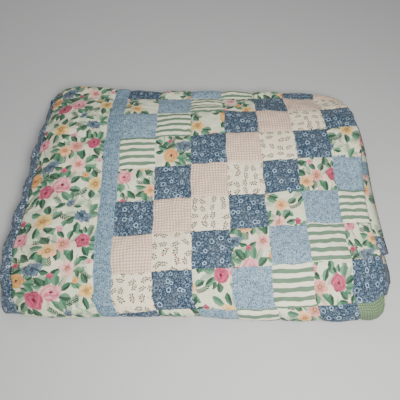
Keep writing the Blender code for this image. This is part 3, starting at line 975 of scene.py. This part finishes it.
def navy_colour(place):
    """Pale ring flowers over a dense scatter of dots, rings and curls on navy."""
    curl = abs(noise(place, 7.0, 1.0) - 0.5)
    colour = mix(rise(curl, 0.022, 0.006) * 0.5, NAVY, NAVY_PALE)
    for number, (pitch, radius, thickness, strength) in enumerate(NAVY_RINGS):
        away, chance, other = scattered(moved(place, 31.0 * number, 17.0 * number), pitch, 0.85)
        reach, angle = polar(away)
        own = scaled(chance, 0.35 * radius, 0.8 * radius)
        wave = sine(angle * 5.0) * (0.1 * radius)
        ring = rise(abs(reach - (own + wave)), thickness, 0.4 * thickness)
        disc = rise(reach, 1.7 * radius, 1.4 * radius)
        colour = mix(disc * 0.8, colour, NAVY)
        own_strength = scaled(other, 0.95 * strength, 0.48 * strength)
        colour = mix(ring * own_strength, colour, RING_BLUE)
    return colour


def light_blue_colour(place):
    """Light blue in soft clouds, with small dark flecks and pale spots."""
    clouds = rise(noise(place, 11.0, 3.0), 0.36, 0.64)
    colour = mix(clouds, LIGHT_BLUE_LOW, LIGHT_BLUE)
    away, chance, _ = scattered(place, 4.4)
    fleck = rise(distance(away), 1.6, 0.9) * rise(chance, 0.42, 0.48)
    colour = mix(fleck * 0.9, colour, LIGHT_BLUE_FLECK)
    away, chance, _ = scattered(moved(place, 17.0, 5.0), 5.2)
    spot = rise(distance(away), 1.75, 0.9) * rise(chance, 0.5, 0.44)
    return mix(spot * 0.85, colour, PALE_BLUE)


def bands(way, pitch, low, high):
    """Soft-edged bands across one way. low and high count from a band's middle, over the pitch."""
    turns = maths("FRACT", way / pitch)
    return rise(abs(turns - 0.5), low, high)


def stripe_colour(place):
    """Even green stripes on cream, each woven a little unevenly."""
    y = split(place)[1]
    band = bands(y, STRIPE_PITCH, 0.262, 0.238)
    thread = scaled(sine(y * 5.2), 0.1, 0.9)
    streak = noise(vector("MULTIPLY", place, (0.12, 1.0, 0.0)), 1.6, 2.0)
    thread = scaled(streak, 0.35, thread - 0.2)
    return mix(band, STRIPE_CREAM, mix(thread, GREEN_DARK, GREEN))


def gingham(pitch, ground, dye):
    """Draws a fine woven check: half tone on each thread way, full where they cross."""

    def gingham_colour(place):
        one_way, other_way = (bands(way, pitch, 0.3, 0.2) for way in split(place))
        return mix((one_way + other_way) * 0.5, ground, dye)

    return gingham_colour


def sprig_colour(place):
    """Small dark sprigs turned every way, some with a red bud, and stray dots on cream."""
    away, chance, other = scattered(place, SPRIG_PITCH, 0.5)
    local = turned(away, chance * (2 * math.pi))
    x, y = split(local)
    bent = y - x * x * 0.03
    drawn = rise(abs(bent), 0.65, 0.35) * rise(abs(x), 6.6, 5.8)
    for leaf_x, leaf_y, lean in SPRIG_LEAVES:
        own = turned(vector("SUBTRACT", local, (leaf_x, leaf_y, 0.0)), -math.radians(lean))
        reach = distance(vector("DIVIDE", own, (*SPRIG_LEAF, 1.0)))
        drawn = greater(drawn, rise(reach, 1.12, 0.85))
    colour = mix(drawn, CREAM_PLAIN, SPRIG)
    bud = vector("DISTANCE", local, (8.4, 2.6, 0.0))
    colour = mix(rise(bud, 1.8, 1.3) * rise(other, 0.5, 0.6), colour, SPRIG_RED)
    away, chance, other = scattered(moved(place, 13.0, 41.0), 11.0)
    dot = rise(distance(away), 1.15, 0.75) * rise(chance, 0.62, 0.64)
    return mix(dot, colour, mix(rise(other, 0.55, 0.6), SPRIG, SPRIG_RED))


def plain_colour(place):
    return mix(noise(place, 9.0, 3.0), *BACKING)


# ---- cotton

MM = 1000.0
NO_TONE = (1.0, 1.0, 1.0)
SASHING_TONE = (0.79, 0.84, 0.86)
BAND_TONE = (1.55, 1.42, 1.38)
WORN = (0.6, 0.56, 0.48)  # what the washed-out places fade to
WORN_MOST = 0.05
WEAVE_PITCH = 0.55  # two threads, in millimetres
SHEEN = {"Sheen Weight": 0.06, "Sheen Roughness": 0.5, "Specular IOR Level": 0.2}
BUMP = {"Strength": 0.35, "Distance": 0.0012}


def cotton(name, draw, piece_offset=0.0, tone=NO_TONE):
    """A printed cotton with its weave, fine creases and soft sheen.

    piece_offset cuts each square from another place. tone makes all its colours paler or deeper.
    """
    material = bpy.data.materials.new(name)
    material.use_nodes = True
    flat = material.node_tree.nodes.new("ShaderNodeUVMap")
    flat.uv_map = "flat_cloth"
    cloth_mm = vector("MULTIPLY", Value(flat.outputs[0]), (MM, MM, 0.0))
    place = cloth_mm
    if piece_offset:
        edge, side = EDGE * MM, PATCH * MM
        square = vector("SUBTRACT", cloth_mm, (edge, edge, 0.0))
        square = vector("FLOOR", vector("DIVIDE", square, (side, side, 1.0)))
        chance = add("ShaderNodeTexWhiteNoise", {"Vector": square}, "Color", noise_dimensions="2D")
        shift = vector("MULTIPLY", chance, (piece_offset, piece_offset, 0.0))
        place = vector("ADD", cloth_mm, shift)
    place = wavered(place, cloth_mm, 60.0, 1.0, 4.0)

    colour = toned(draw(place), tone)
    washed = rise(noise(cloth_mm, 34.0, 4.0), 0.35, 0.75) * WORN_MOST
    colour = mix(washed, colour, WORN)
    x, y = split(cloth_mm)
    turn = 2 * math.pi / WEAVE_PITCH
    weave = sine(x * turn) * sine(y * turn)
    colour = toned(colour, scaled(weave, 0.035, 0.97))
    fine = noise(cloth_mm, 7.0, 5.0)
    rough = scaled(fine, 0.14, 0.8)
    bump = add("ShaderNodeBump", {"Height": fine * 0.8 + weave * 0.05, **BUMP})
    feeds = {"Base Color": colour, "Roughness": rough, "Normal": bump, **SHEEN}
    feed(material.node_tree.nodes["Principled BSDF"], feeds)
    return material


MATERIALS = {
    "navy": cotton("navy_print", navy_colour, 400.0),
    "chintz": cotton("chintz_squares", chintz_colour, 900.0),
    "border_chintz": cotton("chintz_border", chintz_colour),
    "light_blue": cotton("light_blue_print", light_blue_colour, 400.0),
    "sashing": cotton("light_blue_sashing", light_blue_colour, tone=SASHING_TONE),
    "stripe": cotton("green_stripe", stripe_colour, 40.0),
    "pink_gingham": cotton("pink_check", gingham(*PINK_CHECK), 60.0),
    "green_gingham": cotton("green_check", gingham(*GREEN_CHECK), 60.0),
    "sprig": cotton("sprig_print", sprig_colour, 400.0),
    "backing": cotton("plain_backing", plain_colour),
    "band_navy": cotton("navy_band", navy_colour, tone=BAND_TONE),
}

# ---- the quilt and its band

RELIEF_ROOM = 0.0012  # how much of the loft is left to the relief
RIM_WIDTH = 0.01  # of the band's flat edge
RUFFLE = 0.0007  # the creases that run off the band's seam
RUFFLE_PITCH = 0.017
BAND_SWELL = 0.0009
BAND_STEPS = 12  # across the band


def quilt_loft(along, across):
    return HIDDEN_LOFT + (LOFT - RELIEF_ROOM - HIDDEN_LOFT) * shown(along, across)


def band_loft(along, across):
    """Thickness of the band: full in its middle, thin at its two edges."""
    turn = math.pi * np.clip(from_edge(along, across) / BAND, 0, 1)
    return BAND_RIM + (BAND_LOFT - BAND_RIM) * np.sin(turn) ** 0.6


def band_height(along, across):
    run = np.where(np.minimum(along, LENGTH - along) < BAND, across, along)
    ruffle = RUFFLE * np.sin(2 * math.pi * run / RUFFLE_PITCH + 2.0 * ripples(run, run * 0, 0.07, 21))
    height = ruffle + BAND_SWELL * ripples(along, across, 0.05, 23)
    return height * np.clip(from_edge(along, across) / RIM_WIDTH, 0, 1)


def band_lines(lines, length):
    """The quilt's lines between the band's two strips, each strip with finer lines of its own."""
    strip = [BAND * step / BAND_STEPS for step in range(BAND_STEPS)] + [BAND - PIECE_GAP]
    return strip + lines[1:-1] + [length - place for place in reversed(strip)]


inner = divided(COLUMN_SEAMS, along_step), divided(ROW_SEAMS, across_step)
quilt = cloth("patchwork", inner, WIDTH, quilt_loft, relief, "backing")
around = band_lines(inner[0], LENGTH), band_lines(inner[1], WIDTH)
band = cloth("band", around, BAND, band_loft, band_height, "band_navy")

for piece, node, slot in ((quilt, "quilt", "patchwork_cotton"), (band, "edge_band", "navy_cotton")):
    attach(piece, "root")
    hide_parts(node)

# ---- floor, light and camera

CAMERA_PLACE = (0.0044, -0.577, 0.9677)
CAMERA_DOWN = math.radians(59.9)
CAMERA_TURN = 0.0173
FOCAL = 420 / 400  # focal length over the picture's width
SENSOR = 36.0
FLOOR_SIZE = 12.0
FLOOR_COLOUR = (0.5, 0.495, 0.485)
FLOOR_ROUGHNESS = 0.8
# Each light: where it is, what it shines at, its size in metres and its power in watts.
LIGHTS = {
    "key": ((0.26, -0.74, 1.08), (0.05, -0.15, 0), 0.5, 26),
    "fill": ((-0.3, 0.9, 1.5), (0, 0, 0), 1.2, 5),
}
SKY = (0.8, 0.82, 0.85)
SKY_STRENGTH = 0.38

bpy.ops.mesh.primitive_plane_add(size=FLOOR_SIZE, location=(0, 0, 0))
floor = bpy.context.object
floor.name = "floor"
pale = bpy.data.materials.new("pale_floor")
pale.use_nodes = True
floor_feeds = {"Base Color": opaque(FLOOR_COLOUR), "Roughness": FLOOR_ROUGHNESS}
feed(pale.node_tree.nodes["Principled BSDF"], floor_feeds)
floor.data.materials.append(pale)

for light_name, (light_place, target, size, power) in LIGHTS.items():
    light = bpy.data.lights.new(light_name, "AREA")
    light.shape = "SQUARE"
    light.size = size
    light.energy = power
    lamp = bpy.data.objects.new(light_name, light)
    lamp.location = light_place
    shine = Vector(target) - Vector(light_place)
    lamp.rotation_euler = shine.to_track_quat("-Z", "Y").to_euler()
    SCENE.collection.objects.link(lamp)

camera = bpy.data.objects.new("camera", bpy.data.cameras.new("camera"))
camera.data.sensor_width = SENSOR
camera.data.lens = SENSOR * FOCAL
level = math.cos(CAMERA_DOWN)
down = -math.sin(CAMERA_DOWN)
ahead = Vector((math.sin(CAMERA_TURN) * level, math.cos(CAMERA_TURN) * level, down))
right = ahead.cross(Vector((0, 0, 1))).normalized()
axes = Matrix((right, right.cross(ahead), -ahead)).transposed().to_4x4()
camera.matrix_world = Matrix.Translation(CAMERA_PLACE) @ axes
SCENE.collection.objects.link(camera)
SCENE.camera = camera

world = bpy.data.worlds.new("soft_box")
world.use_nodes = True
feed(world.node_tree.nodes["Background"], {0: opaque(SKY), 1: SKY_STRENGTH})
SCENE.world = world
